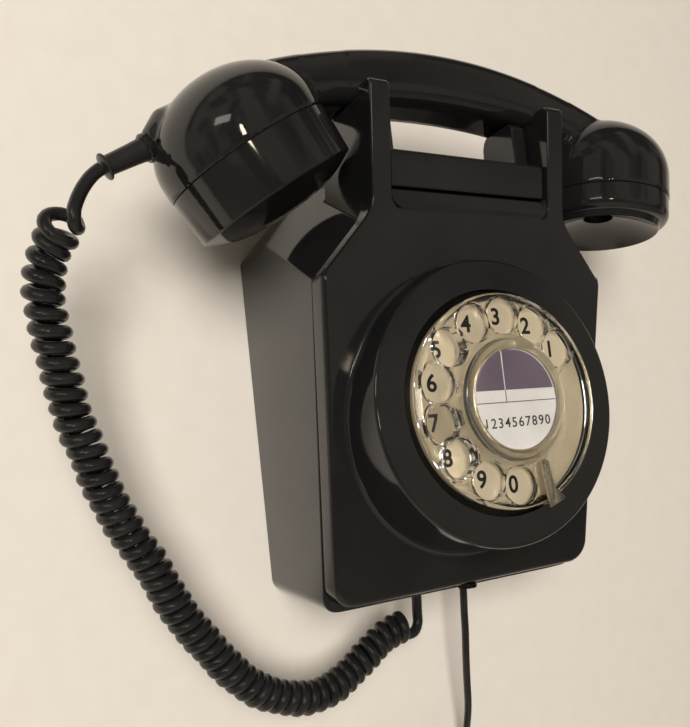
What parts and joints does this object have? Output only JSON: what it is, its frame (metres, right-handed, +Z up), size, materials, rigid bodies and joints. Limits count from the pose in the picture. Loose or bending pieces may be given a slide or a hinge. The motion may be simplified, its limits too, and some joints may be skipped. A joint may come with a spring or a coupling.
{
  "type": "wall telephone",
  "caption": "Wall-mounted rotary telephone with a clear finger wheel, a separate handset lying across the top, a curly handset cord and a line cord.",
  "frame": {"origin": "centre of the four wall-screw holes, on the wall plane at the back of the chassis plate", "axes": "+Y points into the wall, so the front faces -Y; +Z is up; +X is to the right as a user faces it"},
  "size_m": [0.2692, 0.1041, 0.3774],
  "materials": {
    "black_plastic": "gloss",
    "steel": "satin",
    "brass_parts": "satin",
    "board": "satin",
    "copper_wire": "satin",
    "paper_foil": "satin",
    "ivory_plastic": "satin",
    "champagne": "satin",
    "bright_metal": "polished",
    "clear_plastic": "polished",
    "card": "matte",
    "capsule_metal": "satin",
    "cord_black": "satin",
    "tie": "matte"
  },
  "bodies": {
    "case": {"chassis_plate": "steel", "rear_case": "black_plastic", "front_cover": "black_plastic", "cover_screw": "steel", "cradle_pin": "steel", "cradle_spring": "steel", "switch_springs": "brass_parts", "circuit_board": "board", "board_pillars": "brass_parts", "induction_coil": "copper_wire", "capacitor": "paper_foil", "terminal_block": "ivory_plastic", "terminal_screws": "brass_parts", "ringer_frame": "steel", "ringer_coils": "copper_wire", "ringer_magnet": "steel", "hammer_pin": "steel", "gong_left": "brass_parts", "gong_right": "brass_parts", "gong_screws": "steel", "gland_handset": "cord_black", "gland_line": "cord_black", "cord_clamps": "steel", "dial_case": "steel", "number_plate": "champagne", "dial_screws": "steel", "finger_stop": "bright_metal", "governor_cup": "brass_parts", "mainspring": "steel", "pulse_contacts": "brass_parts", "handset_lead": "cord_black", "handset_curl": "cord_black", "handset_tail": "cord_black", "line_cord": "cord_black", "line_coil": "cord_black", "coil_tie": "tie", "line_plug": "ivory_plastic"},
    "handset": {"handset_body": "black_plastic", "mouth_cap": "black_plastic", "ear_cap": "black_plastic", "mouth_capsule": "capsule_metal", "ear_capsule": "capsule_metal", "cord_block": "black_plastic", "strain_relief": "cord_black"},
    "cradle": {"cradle_bar": "black_plastic"},
    "dial": {"finger_wheel": "clear_plastic", "dial_card": "card", "card_window": "clear_plastic", "card_ring": "clear_plastic", "main_shaft": "steel", "main_gear": "brass_parts", "pulse_cam": "ivory_plastic"},
    "governor": {"pinion_shaft": "steel", "governor_weights": "steel"},
    "hammer": {"hammer": "brass_parts"}
  },
  "joints": [
    {"name": "handset_lift", "type": "slide", "parent": "case", "child": "handset", "axis": [0, 0, 1], "range_m": [0, 0.08]},
    {"name": "cradle_tilt", "type": "hinge", "parent": "case", "child": "cradle", "pos_m": [0, -0.054, 0.092], "axis": [-1, 0, 0], "range_deg": [0, 6]},
    {"name": "dial_spin", "type": "hinge", "parent": "case", "child": "dial", "pos_m": [0, -0.0942, 0.003], "axis": [0, 0.9987, -0.0506], "range_deg": [0, 326], "stiffness_Nm_per_rad": 0.004, "springref_deg": -85.94},
    {"name": "governor_spin", "type": "hinge", "parent": "case", "child": "governor", "pos_m": [0.02175, -0.0942, 0.003], "axis": [0, 0.9987, -0.0506], "range_deg": [-1700, 0]},
    {"name": "hammer_swing", "type": "hinge", "parent": "case", "child": "hammer", "pos_m": [0, -0.016, -0.0155], "axis": [0, 1, 0], "range_deg": [-3, 3]}
  ],
  "couplings": [
    {"joint": "cradle_tilt", "follows": "handset_lift", "rad_per_m": 1.3},
    {"joint": "governor_spin", "follows": "dial_spin", "ratio": -5}
  ]
}
